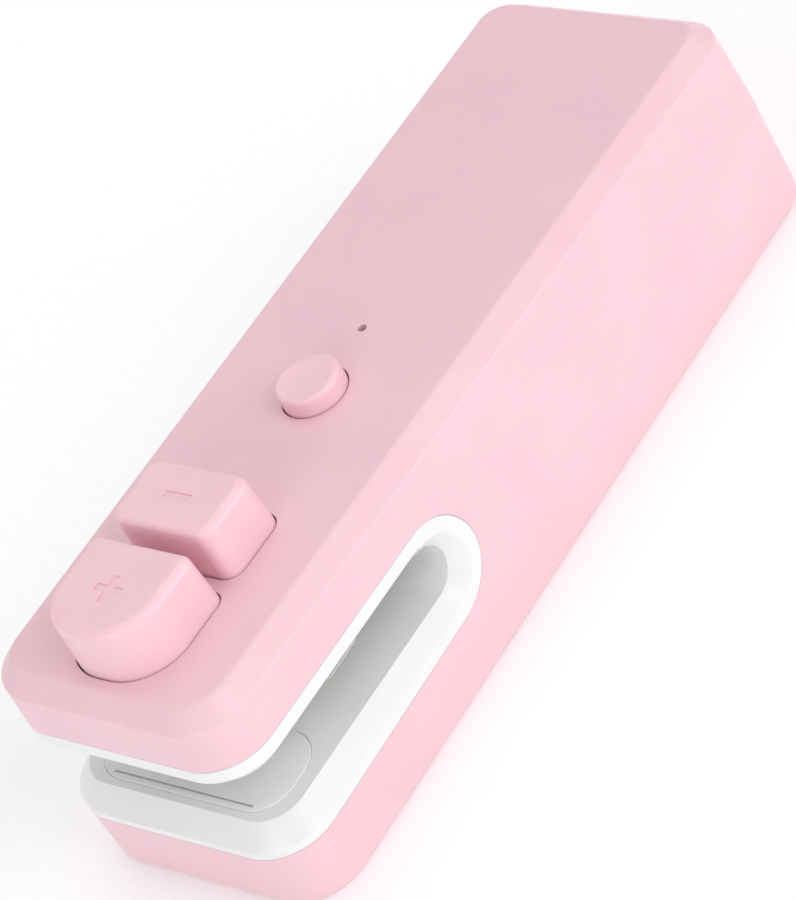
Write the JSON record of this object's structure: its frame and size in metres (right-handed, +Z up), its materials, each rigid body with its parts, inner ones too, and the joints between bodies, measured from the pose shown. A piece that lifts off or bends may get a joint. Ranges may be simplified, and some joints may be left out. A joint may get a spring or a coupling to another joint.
{
  "type": "handheld bag heat sealer",
  "caption": "Palm-size rechargeable sealer with a bag slot at one end, a sealing key over a heater bar, a cutting key over a blade, and a round power button.",
  "frame": {"origin": "Centre of the flat underside's bounding box; the underside lies on z = 0.", "axes": "+X runs from the jaws to the charging end, +Z is up through the keys, +Y is across the width."},
  "size_m": [0.1079, 0.0352, 0.0377],
  "materials": {
    "pink_shell": "fine satin moulded ABS",
    "pink_key": "satin moulded ABS",
    "white_liner": "smooth satin moulded ABS",
    "white_silicone": "soft matt silicone",
    "heat_plastic": "glass-filled heat-resistant moulding",
    "ribbon": "rolled resistance alloy",
    "film": "non-stick coated glass cloth",
    "steel": "ground steel",
    "spring_steel": "drawn spring wire",
    "screw_steel": "nickel-plated steel",
    "brass": "stamped brass",
    "nickel": "rolled nickel",
    "board": "green solder mask",
    "chip": "moulded epoxy",
    "coil": "pressed ferrite",
    "ceramic_part": "fired ceramic",
    "black_plastic": "moulded nylon",
    "led_body": "moulded housing with a clear window",
    "clear": "clear moulded acrylic",
    "cell_wrap": "shrink sleeve",
    "foam": "closed-cell foam",
    "wire_red": "silicone insulation"
  },
  "bodies": {
    "casing": {"upper_shell": "pink_shell", "lower_shell": "pink_shell", "slot_liner": "white_liner", "light_pipe": "clear", "seal_spring": "spring_steel", "cut_spring": "spring_steel", "seal_pad": "white_silicone", "cutting_pad": "white_silicone", "contact_wipers": "brass", "heater_leads": "wire_red", "main_board": "board", "board_chips": "chip", "board_coils": "coil", "board_capacitors": "ceramic_part", "power_switch": "black_plastic", "status_led": "led_body", "usb_shell": "steel", "usb_tongue": "black_plastic", "battery_cell": "cell_wrap", "battery_foam": "foam", "battery_tabs": "nickel", "case_screws": "screw_steel", "liner_screws": "screw_steel", "board_screws": "screw_steel"},
    "sealing_key": {"seal_key": "pink_key", "heater_head": "heat_plastic", "heating_strip": "ribbon", "heater_cover": "film"},
    "cutting_key": {"cut_key": "pink_key", "blade_carrier": "black_plastic", "cutter_blade": "steel"},
    "power_key": {"power_button": "pink_key", "switch_plunger": "black_plastic"}
  },
  "joints": [
    {"name": "seal_press", "type": "slide", "parent": "casing", "child": "sealing_key", "axis": [0, 0, -1], "range_m": [0, 0.00453], "stiffness_N_per_m": 500, "springref_m": -0.004, "deforming": ["seal_spring"]},
    {"name": "cut_press", "type": "slide", "parent": "casing", "child": "cutting_key", "axis": [0, 0, -1], "range_m": [0, 0.00508], "stiffness_N_per_m": 500, "springref_m": -0.004, "deforming": ["cut_spring"]},
    {"name": "power_press", "type": "slide", "parent": "casing", "child": "power_key", "axis": [0, 0, -1], "range_m": [0, 0.0004], "stiffness_N_per_m": 4000, "springref_m": -0.0002}
  ]
}
